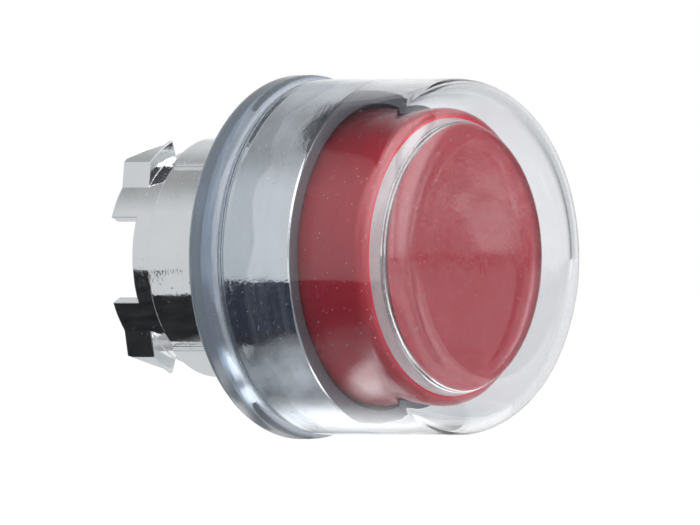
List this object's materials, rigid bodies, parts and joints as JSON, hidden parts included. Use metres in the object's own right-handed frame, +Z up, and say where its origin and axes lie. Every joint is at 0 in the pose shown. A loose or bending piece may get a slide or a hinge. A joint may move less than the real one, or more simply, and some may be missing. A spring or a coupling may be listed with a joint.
{
  "type": "push button head",
  "caption": "Sprung round push-button head for a panel hole, with a red cap and clear disc under a clear protective boot, a chromed bezel and a barrel with locking lugs.",
  "frame": {"origin": "on the button axis, in the plane of the panel's front face, where the boot's gasket lip seats", "axes": "-Y towards the operator (front), +Y rearwards through the panel, +Z up, +X to the operator's right"},
  "size_m": [0.0332, 0.0362, 0.033],
  "materials": {
    "chromed_zinc": "bright",
    "chromed_ring": "bright side, satin front face",
    "clear_silicone": "clear, glossy",
    "red_plastic": "glossy",
    "clear_plastic": "clear",
    "black_plastic": "matt",
    "white_plastic": "matt",
    "black_rubber": "matt",
    "steel": "zinc plated",
    "spring_steel": "drawn",
    "grey_plastic": "matt"
  },
  "bodies": {
    "housing": {"barrel_housing": "chromed_zinc", "bezel_ring": "chromed_ring", "boot": "clear_silicone", "guide_sleeve": "white_plastic", "lip_seal": "black_rubber", "seal_retainer": "steel", "spring_seat": "steel", "return_spring": "spring_steel"},
    "pusher": {"button_cap": "red_plastic", "face_disc": "clear_plastic", "stem": "black_plastic", "stem_clip": "spring_steel", "contact_pusher": "grey_plastic"}
  },
  "joints": [
    {"name": "cap_press", "type": "slide", "parent": "housing", "child": "pusher", "axis": [0, 1, 0], "range_m": [0, 0.004], "stiffness_N_per_m": 450, "springref_m": -0.004, "deforming": ["return_spring", "boot"]}
  ]
}
